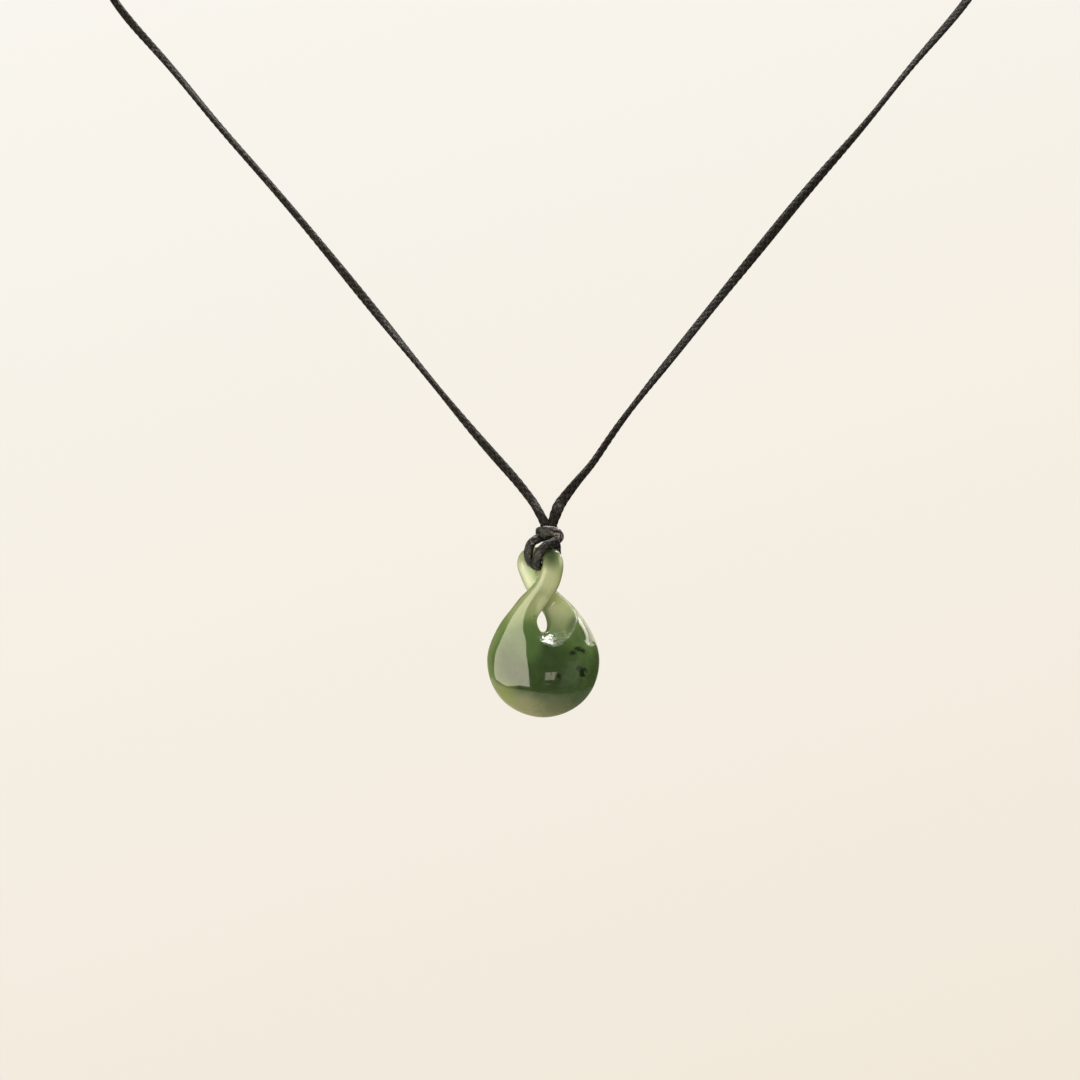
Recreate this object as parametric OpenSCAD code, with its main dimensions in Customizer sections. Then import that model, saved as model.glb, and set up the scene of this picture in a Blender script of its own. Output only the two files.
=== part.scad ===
// Greenstone single twist on a waxed cord, in millimetres.
// The origin is the nape, where the loop of cord rests. +Z is up, and the pendant faces -Y.

/* [Stone] */
// Height of the stone, from its lowest point to the top of the eye
stone_height = 27.3; // [24:0.1:31]
// Width of the stone across the drop
stone_width = 18; // [16:0.1:21]
// Thickness of the drop at its middle
stone_thickness = 8; // [7:0.1:9.5]
// How far the eye stands off the drop's middle line
eye_lean = 0.5; // [0:0.05:0.8]

/* [Cord] */
// Diameter of the waxed cord
cord_d = 1.1; // [0.8:0.05:1.1]
// Distance from the nape forward to the pendant
reach = 120; // [100:1:140]
// Drop from the nape to the stone's lowest point
hang = 150; // [140:1:165]
// Diameter of the knot that closes the loop at the nape
closing_d = 3.6; // [3:0.1:5]
// Length of the knot that closes the loop at the nape
closing_length = 10; // [7:0.5:14]
// Clearance round the cord inside the closing knot
closing_gap = 0.3; // [0.2:0.05:0.5]

/* [Facets] */
// Sections along each half of the stone's ring
half_sections = 54; // [42:1:60]
// Lines across each face of the stone
face_lines = 16; // [12:1:18]
// Sides of the cord
cord_sides = 8; // [6:1:10]

/* [Hidden] */

// The sizes that the stone's tables are written at
table_size = [18, 8, 27.3];
stone_scale = [
    stone_width / table_size.x,
    stone_thickness / table_size.y,
    stone_height / table_size.z
];

// The stone is one ring that crosses itself, and each section reaches from its rim edge to its outline edge.
// The rim edge runs round the small hole and over the eye. The outline edge runs round the drop and inside
// the eye.
// Half of the ring is listed, from the top of the eye down the front strand to the foot of the drop.
// Columns: rim x, rim y, rim z, outline x, outline y, outline z
edge_rows = [
    [ 0.0,  0.0, 27.3,   0.0,  0.0, 24.9],
    [ 2.1, -1.3, 27.1,   0.5, -0.75, 24.95],
    [ 3.35, -2.1, 26.0,  0.6, -1.6, 24.75],
    [ 3.7, -2.35, 24.3,  0.25, -2.2, 24.1],
    [ 3.2, -2.25, 22.2, -0.2, -2.3, 23.15],
    [ 2.2, -2.1, 20.0,  -0.85, -2.05, 22.0],
    [ 0.8, -1.9, 18.15, -2.1, -1.85, 20.55],
    [ 0.05, -1.7, 17.1, -4.0, -1.65, 18.75],
    [-0.45, -1.45, 16.3, -5.85, -1.35, 16.55],
    [-0.72, -1.1, 15.4, -7.2, -0.9, 14.6],
    [-0.66, -0.7, 14.6, -8.55, -0.5, 11.7],
    [-0.5, -0.4, 14.1,  -9.0, -0.2, 8.6],
    [-0.34, -0.2, 13.85, -8.0, 0.0, 4.8],
    [-0.2,  0.0, 13.75, -5.0,  0.0, 1.5],
    [ 0.0,  0.0, 13.7,   0.0,  0.0, 0.0]
];

// The shape of the front face over each section. Places are shares of the way from the rim to the outline.
// Columns: height, place of the height, shoulder power, end of the scoop's floor, crease, floor height,
// scoop depth, ridge of the flank, flank depth
front_rows = [
    [1.5,  0.5,   2.8,  0.3,  0.6,   1.4,  0,   0.92, 0],
    [1.5,  0.52,  2.9,  0.3,  0.6,   1.4,  0,   0.92, 0],
    [1.5,  0.54,  3.2,  0.3,  0.6,   1.4,  0,   0.92, 0],
    [1.5,  0.56,  3.6,  0.3,  0.6,   1.4,  0,   0.92, 0],
    [1.5,  0.56,  3.8,  0.3,  0.6,   1.4,  0,   0.92, 0],
    [1.52, 0.54,  3.8,  0.3,  0.6,   1.4,  0,   0.92, 0],
    [1.6,  0.49,  3.5,  0.25, 0.5,   1.5,  0,   0.92, 0],
    [1.78, 0.41,  3.3,  0.2,  0.4,   1.6,  0,   0.92, 0],
    [2.12, 0.34,  3.1,  0.16, 0.3,   1.7,  0,   0.92, 0],
    [2.57, 0.295, 2.9,  0.12, 0.2,   1.8,  0,   0.92, 0],
    [3.04, 0.28,  2.75, 0.08, 0.13,  1.9,  0,   0.92, 0],
    [3.45, 0.285, 2.6,  0.05, 0.09,  2,    0,   0.92, 0],
    [3.77, 0.295, 2.5,  0.03, 0.085, 2.1,  0.3, 0.92, 0],
    [3.95, 0.3,   2.4,  0.03, 0.1,   2.1,  0.8, 0.92, 0],
    [4,    0.3,   2.4,  0.03, 0.12,  2.1,  1,   0.92, 0]
];

// The shape of the back face over the same sections, with the scoop that frees the strand behind and the
// flank that is ground off beside it. The columns are the same.
back_rows = [
    [1.5,  0.5,   2.8,  0.3,  0.6,   1.4,  0,   0.92, 0],
    [1.5,  0.5,   2.8,  0.35, 0.65,  1.4,  0,   0.92, 0],
    [1.5,  0.5,   2.8,  0.4,  0.7,   1.4,  0,   0.92, 0],
    [1.5,  0.5,   2.8,  0.45, 0.76,  1.4,  0,   0.93, 0],
    [1.5,  0.5,   2.8,  0.5,  0.82,  1.4,  0,   0.94, 0],
    [1.5,  0.5,   2.8,  0.55, 0.9,   1.45, 0,   0.96, 0],
    [1.55, 0.5,   3,    0.6,  0.95,  1.5,  0.5, 0.98, 0],
    [1.75, 0.5,   3.6,  0.62, 0.96,  1.58, 1,   0.98, 0],
    [2.4,  0.5,   4.5,  0.55, 0.9,   1.64, 1,   0.92, 1],
    [3.1,  0.5,   5.5,  0.4,  0.7,   1.7,  1,   0.76, 1],
    [3.65, 0.45,  4.5,  0.22, 0.47,  1.75, 1,   0.73, 1],
    [3.95, 0.4,   3,    0.12, 0.34,  1.85, 1,   0.88, 0.4],
    [4.05, 0.35,  2.5,  0.06, 0.25,  2,    1,   0.92, 0],
    [4,    0.32,  2.4,  0.04, 0.17,  2.1,  1,   0.92, 0],
    [4,    0.3,   2.4,  0.03, 0.12,  2.1,  1,   0.92, 0]
];

// Half a turn about the upright axis carries the listed half of the ring onto the other half
half_turn = [-1, -1, 1, -1, -1, 1];
spans = len(edge_rows) - 1;

// Power of the scoop floor's roundness beside the rim
floor_power = 5;
// Power of the scoop's wall, over 1 for a hollow wall, and what is added to it where the floor takes all
wall_power = 1.2;
wall_hollow = 1.6;
// Power of the flank's fall to the outline, under 1 for a full flank
flank_power = 0.62;
// Shares of a face's lines that lie on the scoop's floor, on its wall and on the flank
floor_share = 0.25;
wall_share = 0.17;
flank_share = 0.25;

// Rows of the tables between which the sections turn upright
upright_from = 4;
upright_to = 8;

// The lean grows in two steps: its first share from a foot height, and the rest beside the eye
first_lean = 0.54;
rim_foot = 13.5;
outline_foot = 17.5;
foot_rise = 2.5;
eye_from = 21;
eye_to = 25;

// Where the stone's foot hangs
stone_at = [0, -reach, -hang];

// The visible legs of the cord, measured from the foot of the stone. They start behind the hitch and rise
// to the sides of the neck.
left_leg = [
    [ 0.4,   0.6,  29.7], [ 0.2,   0.2,  30.5], [ 0.1,   0,    31.3], [-0.9,   1,    33.2],
    [-1.9,   2.5,  34.8], [-4.4,   4.5,  38],
    [-7.3,   7.5,  41.3], [-12.9,  12,   47.8], [-20.9,  19,   57.6], [-29,    26.5, 67.6],
    [-37.2,  33.5, 77.7], [-45.8,  40.5, 87.9], [-54.7,  47.5, 98.2], [-63.3,  55,   108.6],
    [-72.1,  62,   119.1]
];
right_leg = [
    [ 1.6,   0.5,  29.7], [ 1.5,   0.1,  30.5], [ 1.5,   0,    31.2], [ 2.2,   1,    33.2],
    [ 3.1,   2.5,  34.8], [ 5.6,   4.5,  38],
    [ 8.3,   7.5,  41.3], [ 12.8,  12,   47.8], [ 20.5,  19,   57.6], [ 28.5,  26.5, 67.6],
    [ 36.7,  33.5, 77.7], [ 45.1,  40.5, 87.9], [ 54,    47.5, 98.2], [ 62.4,  55,   108.6],
    [ 71.2,  62,   119.1]
];
// Half of the hidden stretch, measured from the nape, where it begins, down to the side of the neck
nape_half = [
    [6, 0, 0], [15, -0.5, 0], [30, -2.5, -1], [46, -6.5, -3], [59, -12.5, -5.5], [68.5, -20, -8.5],
    [74.5, -29, -12], [77, -38.5, -16], [76.5, -48, -21.5]
];

// One strand of the hitch, measured from the foot of the stone: down behind the eye's bar, forward through
// the eye, up on the left and in under the band
left_strand = [
    [ 0.45,  0.75, 29.55], [ 0.7,  1.6, 28.4], [ 0.8,  2.5, 27.2], [ 0.7,  2.6, 26.0],
    [ 0.4,   2.0, 24.9], [-0.2,  1.1, 24.3], [-0.9,  0.5, 24.1], [-1.6, -0.2, 24.2], [-2.2, -1.1, 24.7],
    [-2.5,  -1.6, 25.7], [-2.5, -1.7, 26.9], [-2.1, -1.5, 27.8], [-1.3, -1.2, 28.4], [-0.4, -0.8, 28.6],
    [ 0.3,  -0.7, 28.9]
];
// The other strand: down behind the bar, forward through the eye, up across the bar and round into the band
right_strand = [
    [ 1.65,  0.6, 29.55], [ 1.9,  1.3, 28.4], [ 2.1,  1.9, 27.1], [ 2.1,  1.9, 25.8],
    [ 1.7,   1.3, 24.8], [ 0.9,  0.4, 24.2], [-0.1, -0.5, 24.1], [-1.0, -1.5, 24.5], [-1.3, -2.3, 25.3],
    [-0.9,  -2.7, 26.3], [ 0.0, -2.7, 27.3], [ 1.2, -2.3, 28.0], [ 2.2, -1.6, 28.4], [ 2.5, -1.1, 29.1],
    [ 2.0,  -1.2, 29.8], [ 1.0, -1.35, 30.0], [ 0.1, -1.3, 29.8], [-0.55, -0.9, 29.6], [-0.65, -0.3, 29.4]
];

// Sides of the closing knot, and how far its hole is drawn past each end
knot_sides = 48;
hole_overrun = 0.5;
// A way that the cord's first ring is turned to face, and that the cord never runs along
first_facing = [0.3, 1, 0.2];

function unit(v) = v / norm(v);
function clamp01(x) = max(0, min(1, x));
function ease(x, from, to) = let (s = clamp01((x - from) / (to - from))) s * s * (3 - 2 * s);

// Half of a table and the other half's rows, which repeat it backwards
function whole_ring(rows, other) = concat(rows, [for (i = [spans - 1:-1:1]) other[i]]);
function turned(rows) = [for (row = rows) [for (c = [0:5]) row[c] * half_turn[c]]];

// The row at t rows along a closed table, smooth through every row
function row_at(rows, t) =
    let (
        n = len(rows),
        i = floor(t),
        f = t - i,
        a = rows[(i + n - 1) % n],
        b = rows[i % n],
        c = rows[(i + 1) % n],
        d = rows[(i + 2) % n]
    )
    0.5 * (2 * b + (c - a) * f + (2 * a - 5 * b + 4 * c - d) * f * f + (3 * b - a - 3 * c + d) * f * f * f);

// A point of the ring, moved to the left as it climbs, from a foot height up
function leaned(p, foot) =
    p - [eye_lean * (first_lean * ease(p.z, foot, foot + foot_rise)
        + (1 - first_lean) * ease(p.z, eye_from, eye_to)), 0, 0];

// Height of a face's full dome over the section, at the share u of the way from the rim to the outline.
// The share is bent so that the height's place falls halfway.
function dome(row, u) =
    let (w = clamp01(u) ^ (ln(0.5) / ln(row[1])))
    row[0] * sqrt(clamp01(1 - abs(2 * w - 1) ^ row[2]));

// Height of the scoop: a floor that rounds off to the rim, then a wall up to the crease, then the dome
function scoop(row, u) =
    u < row[3] ? row[5] * sqrt(clamp01(1 - (1 - u / row[3]) ^ floor_power))
    : u < row[4]
        ? row[5] + (dome(row, row[4]) - row[5])
            * ((u - row[3]) / (row[4] - row[3])) ^ (wall_power + wall_hollow * row[3])
        : dome(row, u);

// Height of the dome up to the ridge, then of the flank that falls off to the outline
function flank(row, u) =
    u < row[7] ? dome(row, u) : dome(row, row[7]) * clamp01((1 - u) / (1 - row[7])) ^ flank_power;

// Height of a face with its scoop and its flank cut to their depths
function face_height(row, u) =
    let (full = dome(row, u))
    full + clamp01(row[6]) * (min(full, scoop(row, u)) - full)
        + clamp01(row[8]) * (min(full, flank(row, u)) - full);

// Shares at which a face has its lines: close beside both edges, with one each on the floor's end, the crease
// and the ridge
function line_shares(row) =
    let (
        on_floor = floor(face_lines * floor_share),
        on_wall = floor(face_lines * wall_share),
        on_flank = floor(face_lines * flank_share),
        on_dome = face_lines - on_floor - on_wall - on_flank
    )
    concat(
        [for (i = [0:on_floor - 1]) row[3] * (1 - cos(90 * i / on_floor))],
        [for (i = [0:on_wall - 1]) row[3] + (row[4] - row[3]) * i / on_wall],
        [for (i = [0:on_dome - 1]) row[4] + (row[7] - row[4]) * i / on_dome],
        [for (i = [0:on_flank]) row[7] + (1 - row[7]) * sin(90 * i / on_flank)]
    );

// One closed section: out over the front face from rim to outline, and home over the back face
function section(rim, outline, depth, front, back) =
    let (
        out = line_shares(front),
        home = line_shares(back)
    )
    concat(
        [for (u = out) rim + (outline - rim) * u + depth * face_height(front, u)],
        [for (i = [face_lines - 1:-1:1])
            rim + (outline - rim) * home[i] - depth * face_height(back, home[i])]
    );

// Faces of a closed tube of rings, clockwise from outside
function ring_faces(rings, sides) = [
    for (i = [0:rings - 1], j = [0:sides - 1])
        let (
            k = (i + 1) % rings,
            m = (j + 1) % sides
        )
        each [[i * sides + j, k * sides + j, k * sides + m], [i * sides + j, k * sides + m, i * sides + m]]
];

module greenstone_twist() {
    edges = whole_ring(edge_rows, turned(edge_rows));
    fronts = whole_ring(front_rows, back_rows);
    backs = whole_ring(back_rows, front_rows);
    count = 2 * half_sections;
    places = [for (i = [0:count - 1]) i * spans / half_sections];
    rims = [for (t = places) let (e = row_at(edges, t)) leaned([e[0], e[1], e[2]], rim_foot)];
    outlines = [for (t = places) let (e = row_at(edges, t)) leaned([e[3], e[4], e[5]], outline_foot)];
    middles = (rims + outlines) / 2;
    rings = [
        for (i = [0:count - 1])
            let (
                way = middles[(i + 1) % count] - middles[(i + count - 1) % count],
                turn = 1 - ease(min(places[i], 2 * spans - places[i]), upright_from, upright_to),
                along = [way.x, way.y * turn, way.z]
            )
            section(rims[i], outlines[i], unit(cross(along, rims[i] - outlines[i])),
                row_at(fronts, places[i]), row_at(backs, places[i]))
    ];
    color([0.2, 0.38, 0.16])
        translate(stone_at)
            scale(stone_scale)
                polyhedron(
                    points = [for (ring = rings) each ring],
                    faces = ring_faces(count, 2 * face_lines),
                    convexity = 6
                );
}

function along_path(path, i) = unit(path[min(i + 1, len(path) - 1)] - path[max(i - 1, 0)]);
function square_to(v, along) = unit(v - (v * along) * along);

// A solid cord along a path, its rings carried from one to the next without twist
module cord(path) {
    last = len(path) - 1;
    normals = [
        for (i = 0, n = square_to(first_facing, along_path(path, 0)); i <= last;
            i = i + 1, n = square_to(n, along_path(path, min(i, last)))) n
    ];
    points = [
        for (i = [0:last], j = [0:cord_sides - 1])
            let (a = 360 * j / cord_sides)
            path[i] + cord_d / 2 * (cos(a) * normals[i] + sin(a) * cross(along_path(path, i), normals[i]))
    ];
    walls = [
        for (i = [0:last - 1], j = [0:cord_sides - 1])
            let (m = (j + 1) % cord_sides)
            each [
                [i * cord_sides + j, (i + 1) * cord_sides + m, (i + 1) * cord_sides + j],
                [i * cord_sides + j, i * cord_sides + m, (i + 1) * cord_sides + m]
            ]
    ];
    caps = [
        [for (j = [cord_sides - 1:-1:0]) j],
        [for (j = [0:cord_sides - 1]) last * cord_sides + j]
    ];
    polyhedron(points = points, faces = concat(walls, caps), convexity = 8);
}

module neck_cord() {
    left = [for (p = left_leg) p + stone_at];
    right = [for (i = [len(right_leg) - 1:-1:0]) right_leg[i] + stone_at];
    hidden_left = [for (i = [len(nape_half) - 1:-1:0]) [-nape_half[i].x, nape_half[i].y, nape_half[i].z]];
    color([0.07, 0.065, 0.06])
        cord(concat(left, hidden_left, [[0, 0, 0]], nape_half, right));
}

module hitch_knot() {
    color([0.09, 0.085, 0.08])
        translate(stone_at)
            union() {
                cord(left_strand);
                cord(right_strand);
            }
}

module closing_knot() {
    barrel = closing_length - closing_d;
    color([0.07, 0.065, 0.06])
        rotate([0, 90, 0])
            difference() {
                union() {
                    cylinder(h = barrel, d = closing_d, center = true, $fn = knot_sides);
                    for (end = [-1, 1])
                        translate([0, 0, end * barrel / 2])
                            sphere(d = closing_d, $fn = knot_sides);
                }
                cylinder(
                    h = closing_length + 2 * hole_overrun,
                    d = cord_d + closing_gap,
                    center = true,
                    $fn = knot_sides
                );
            }
}

greenstone_twist();
neck_cord();
hitch_knot();
closing_knot();
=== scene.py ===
import math

import bpy
import numpy as np
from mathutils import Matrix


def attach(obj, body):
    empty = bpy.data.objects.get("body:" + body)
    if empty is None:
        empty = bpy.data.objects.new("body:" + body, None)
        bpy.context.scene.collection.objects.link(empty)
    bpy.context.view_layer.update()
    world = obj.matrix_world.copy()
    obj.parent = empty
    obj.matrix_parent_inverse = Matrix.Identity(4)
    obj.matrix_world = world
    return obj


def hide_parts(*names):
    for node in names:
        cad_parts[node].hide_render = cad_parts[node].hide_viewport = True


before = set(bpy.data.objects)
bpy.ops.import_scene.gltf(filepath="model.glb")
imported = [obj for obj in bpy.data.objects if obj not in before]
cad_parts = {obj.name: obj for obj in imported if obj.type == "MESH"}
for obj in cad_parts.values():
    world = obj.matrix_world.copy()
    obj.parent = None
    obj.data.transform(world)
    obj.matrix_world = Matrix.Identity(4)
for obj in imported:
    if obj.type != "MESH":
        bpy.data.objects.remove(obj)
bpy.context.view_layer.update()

# A greenstone single twist on a waxed cord. The tables are in millimetres, and meshes and lights in metres.
mm = 0.001
foot = np.array([0.0, -120.0, -150.0])  # where the stone's lowest point hangs
scene = bpy.context.scene


# Camera: level and square on, with a long lens. Its place is in mm, and how far it sees in metres.
cameraSet = {"at": (-0.54, -1320.0, -121.6), "lens": 250.0, "sensor": 36.0, "sees": 20.0}


def makeCamera(settings):
    data = bpy.data.cameras.new("studioCamera")
    data.lens = settings["lens"]
    data.sensor_width = settings["sensor"]
    data.clip_end = settings["sees"]
    camera = bpy.data.objects.new("studioCamera", data)
    camera.location = np.array(settings["at"]) * mm
    camera.rotation_euler = (math.pi / 2, 0, 0)
    scene.collection.objects.link(camera)
    scene.camera = camera
    print("camera at", settings["at"], "mm")


makeCamera(cameraSet)


# Rows of vectors made one unit long
def unitRows(v):
    return v / np.linalg.norm(v, axis=-1, keepdims=True)


def ease(x, low, high):
    share = np.clip((x - low) / (high - low), 0, 1)
    return share * share * (3 - 2 * share)


# A table's value at t rows along it: the smoothest curve through every row. Its slopes solve
# before + 4 here + after = 3 (next row - last row), which keeps the curvature even too.
def rowAt(rows, t, closed=False):
    count = len(rows)
    system = 4 * np.eye(count) + np.eye(count, k=1) + np.eye(count, k=-1)
    right = 3 * (np.roll(rows, -1, 0) - np.roll(rows, 1, 0))
    if closed:
        system[0, -1] = system[-1, 0] = 1
        i = np.floor(t).astype(int) % count
    else:
        system[0, 0] = system[-1, -1] = 2
        right[0], right[-1] = 3 * (rows[1] - rows[0]), 3 * (rows[-1] - rows[-2])
        i = np.clip(np.floor(t).astype(int), 0, count - 2)
    slopes = np.linalg.solve(system, right)
    f = (t - (np.floor(t) if closed else i))[:, None]
    j = (i + 1) % count
    return (rows[i] * (2 * f ** 3 - 3 * f ** 2 + 1) + rows[j] * (3 * f ** 2 - 2 * f ** 3)
            + slopes[i] * (f ** 3 - 2 * f ** 2 + f) + slopes[j] * (f ** 3 - f ** 2))


# A table read at even steps of length along its first three columns, which a finer reading measures
def evenly(rows, step, finer=40):
    fine = rowAt(rows, np.linspace(0, len(rows) - 1, finer * len(rows)))
    run = np.concatenate([[0], np.cumsum(np.linalg.norm(np.diff(fine[:, :3], axis=0), axis=1))])
    at = np.linspace(0, run[-1], int(run[-1] / step) + 1)
    return np.stack([np.interp(at, run, fine[:, k]) for k in range(fine.shape[1])], axis=1), at


# A mesh from a row of closed rings. A closed row joins its last ring to its first, and any other has caps.
def gridMesh(name, rings, coordinates=None, values=None, closedRow=False):
    count, sides = rings.shape[:2]
    i, j = np.meshgrid(np.arange(count if closedRow else count - 1), np.arange(sides), indexing="ij")
    k, m = (i + 1) % count, (j + 1) % sides
    quads = np.stack([i * sides + j, i * sides + m, k * sides + m, k * sides + j], -1)
    quads = quads.reshape(-1, 4).tolist()
    if not closedRow:
        quads += [list(range(sides - 1, -1, -1)), list(range((count - 1) * sides, count * sides))]
    mesh = bpy.data.meshes.new(name)
    mesh.from_pydata((rings.reshape(-1, 3) * mm).tolist(), [], quads)
    if coordinates is not None:
        run, lay = coordinates  # one value a ring along it, and a share of the way round
        u = np.stack([run[i], run[i], run[k], run[k]], -1) / lay
        v = np.stack([j, j + 1, j + 1, j], -1) / sides
        corners = np.stack([u, v], -1).reshape(-1, 2)
        if not closedRow:
            corners = np.concatenate([corners, np.zeros((2 * sides, 2))])
        mesh.uv_layers.new(name="plait").uv.foreach_set("vector", corners.astype(np.float32).ravel())
    for key, column in (values or {}).items():
        attribute = mesh.attributes.new(key, "FLOAT", "POINT")
        attribute.data.foreach_set("value", column.astype(np.float32).ravel())
    mesh.polygons.foreach_set("use_smooth", np.ones(len(mesh.polygons), bool))
    if not closedRow:
        mesh.flip_normals()  # a cord's rings turn the other way round than the stone's
    mesh.update()
    return mesh


def makePiece(name, mesh, material, slot, *nodes):
    piece = bpy.data.objects.new(name, mesh)
    scene.collection.objects.link(piece)
    mesh.materials.append(material)
    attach(piece, "root")
    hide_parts(*nodes)
    print("made", name, len(mesh.polygons), "faces")
    return piece


# A shader node with its inputs, each a value or a link
def put(tree, kind, inputs=None, **settings):
    node = tree.nodes.new("ShaderNode" + kind)
    for key, value in settings.items():
        setattr(node, key, value)
    for key, value in (inputs or {}).items():
        if isinstance(value, bpy.types.NodeSocket):
            tree.links.new(value, node.inputs[key])
        else:
            node.inputs[key].default_value = value
    return node


def maths(tree, operation, a, b=0.0):
    return put(tree, "Math", {0: a, 1: b}, operation=operation).outputs[0]


# Two colours mixed. The node's inputs 0, 6 and 7 are the share and both colours, and its output 2 is the mix.
def blend(tree, share, a, b):
    node = put(tree, "Mix", data_type="RGBA")
    for index, value in ((0, share), (6, a), (7, b)):
        if isinstance(value, bpy.types.NodeSocket):
            tree.links.new(value, node.inputs[index])
        else:
            node.inputs[index].default_value = value if index == 0 else (*value, 1)
    return node.outputs[2]


# A value read between two limits, and what it gives at each
def spread(tree, value, fromLow, fromHigh, low=0.0, high=1.0, smooth=False):
    kind = "SMOOTHSTEP" if smooth else "LINEAR"
    inputs = {"Value": value, "From Min": fromLow, "From Max": fromHigh, "To Min": low, "To Max": high}
    return put(tree, "MapRange", inputs, interpolation_type=kind).outputs["Result"]


# Noise about 0.5. Its settings are scale, detail, roughness and, where it has one, distortion.
def grain(tree, place, settings):
    inputs = dict(zip(("Scale", "Detail", "Roughness", "Distortion"), settings), Vector=place)
    return put(tree, "TexNoise", inputs).outputs["Fac"]


# A bump's normal. Its settings are its strength and its height in metres.
def bumped(tree, height, settings, normal=None):
    inputs = {"Strength": settings[0], "Distance": settings[1], "Height": height}
    if normal is not None:
        inputs["Normal"] = normal
    return put(tree, "Bump", inputs).outputs[0]


def newMaterial(name):
    material = bpy.data.materials.new(name)
    material.use_nodes = True
    tree = material.node_tree
    return material, tree, tree.nodes["Principled BSDF"]


def newGroup(name, inputs, outputs):
    group = bpy.data.node_groups.new(name, "ShaderNodeTree")
    for direction, sockets in (("INPUT", inputs), ("OUTPUT", outputs)):
        for label, kind in sockets:
            group.interface.new_socket(label, in_out=direction, socket_type="NodeSocket" + kind)
    return group, group.nodes.new("NodeGroupInput"), group.nodes.new("NodeGroupOutput")


# A soft spot: 1 within the core's share of its ellipsoid, fading to 0 at the edge, which noise about 0.5
# makes uneven
def makeSpotGroup():
    group, given, result = newGroup(
        "softSpot",
        [("Place", "Vector"), ("Middle", "Vector"), ("Size", "Vector"), ("Core", "Float"), ("Noise", "Float"),
         ("Ragged", "Float")],
        [("Mask", "Float")])
    place, middle, size, core, noise, ragged = given.outputs[:6]
    away = put(group, "VectorMath", {0: place, 1: middle}, operation="SUBTRACT").outputs[0]
    share = put(group, "VectorMath", {0: away, 1: size}, operation="DIVIDE").outputs[0]
    far = put(group, "VectorMath", {0: share}, operation="LENGTH").outputs["Value"]
    uneven = maths(group, "MULTIPLY", maths(group, "SUBTRACT", noise, 0.5), ragged)
    mask = spread(group, maths(group, "ADD", far, uneven), 1.0, core, smooth=True)
    group.links.new(mask, result.inputs["Mask"])
    return group


spotGroup = makeSpotGroup()
softCore = 0.45  # the share of a spot that is its core, where its row leaves it out


# A spot from its row: middle and half sizes in mm from the foot, strength, and the core's share
def spot(tree, place, noise, row, ragged):
    middle, size, strength, core = (*row, softCore)[:4]
    node = put(tree, "Group", node_tree=spotGroup)
    tree.links.new(place, node.inputs["Place"])
    tree.links.new(noise, node.inputs["Noise"])
    node.inputs["Middle"].default_value = (foot + middle) * mm
    node.inputs["Size"].default_value = np.array(size) * mm
    node.inputs["Core"].default_value = core
    node.inputs["Ragged"].default_value = ragged
    return maths(tree, "MULTIPLY", node.outputs["Mask"], strength)


# Cord: a flat plait of waxed thread, round the neck and down to the pendant
cordSet = {
    "strands": 4,         # threads that wind each way round the plait
    "lay": 5.6,           # mm of cord in which a thread goes once round
    "relief": 0.08,       # mm that a thread stands proud
    "square": 0.82,       # power of the section's cosine and sine, under 1 for flatter faces
    "sides": 32,
    "step": 0.17,         # mm between rings
    "length": 0.504,      # metres of the whole loop, and its width as it is sold
    "width": 0.0011,
    "neck": (0.0, -50.0),  # the middle of the neck, which the flat of the plait lies round
    "napeTwist": -75,     # degrees that the turns of the rows on both sides of the nape add up to
    "dye": (0.019, 0.0158, 0.0128),
    # grey wax, which also stands in for painted glints on the crests
    "wax": (0.17, 0.145, 0.118),
    # rubbed brown, partly wear and partly painted glints
    "wornAndGlint": (0.34, 0.275, 0.235),
    "gapShade": (0.005, 0.0042, 0.004),
    "gapShadeShare": 0.75,     # how far the painted shade in the gaps between the threads darkens them
    "gloss": 0.05,
    "waxed": (1.0, 0.6),  # how far the wax shows on the left and on the right: painted light, the left leg lighter as the lit side
    "waxedAcross": (-2 * mm, 1 * mm),
    # Noises: scale, detail, roughness, distortion
    "patches": (700.0, 3.0, 0.6),
    "flecks": (4200.0, 2.0, 0.7),
    "crinkles": (1.0, 5.0, 0.62, 0.9),
    "crinkleScale": (6.7, 12.0, 1.0),  # for a lay's length, and for once round
    # Ranges: two limits of what is read, and what it gives at each
    "waxGlintCrests": (0.52, 0.68),
    "waxPatches": (0.4, 0.6, 0.15, 1.0),
    "waxGlintHeights": (0.3, 0.9, 0.35, 1.0),
    "waxFlecks": (0.3, 0.6, 0.5, 1.0),
    "wornGlintCrests": (0.5, 0.6),
    "wornGlintFlecks": (0.3, 0.55, 0.4, 1.0),
    "dullness": (0.55, 0.85, 0.55, 0.32),
    "dullFlecks": 0.4,    # how much the flecks add to the patches there
    # Bumps: strength, height in metres
    "plaitBump": (0.5, 0.00005),
    "crinkleBump": (0.9, 0.0002),
}

# Legs from the hitch up to the neck's sides, measured from the foot
# Columns: x, y, z, turn of the flat about the cord's line in degrees, width, thickness
leftLeg = np.array([
    [0.4, 0.6, 29.7, 360, 1.4, 0.95],
    [0.2, 0.2, 30.5, 360, 1.42, 0.95],
    [0.1, 0.0, 31.3, 360, 1.45, 0.95],
    [-0.9, 1.0, 33.2, 374, 1.4, 0.9],
    [-1.9, 2.5, 34.8, 378, 1.4, 0.85],
    [-4.4, 4.5, 38.0, 362, 1.42, 0.82],
    [-7.3, 7.5, 41.3, 338, 1.5, 0.95],
    [-12.9, 12.0, 47.8, 304, 1.5, 1.05],
    [-20.9, 19.0, 57.6, 262, 1.4, 0.85],
    [-29.0, 26.5, 67.6, 208, 1.42, 0.82],
    [-37.2, 33.5, 77.7, 156, 1.4, 1.05],
    [-45.8, 40.5, 87.9, 125, 1.4, 1.1],
    [-54.7, 47.5, 98.2, 108, 1.3, 0.9],
    [-63.3, 55.0, 108.6, 82, 1.2, 0.82],
    [-72.1, 62.0, 119.1, 25, 1.4, 0.82],
])
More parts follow.
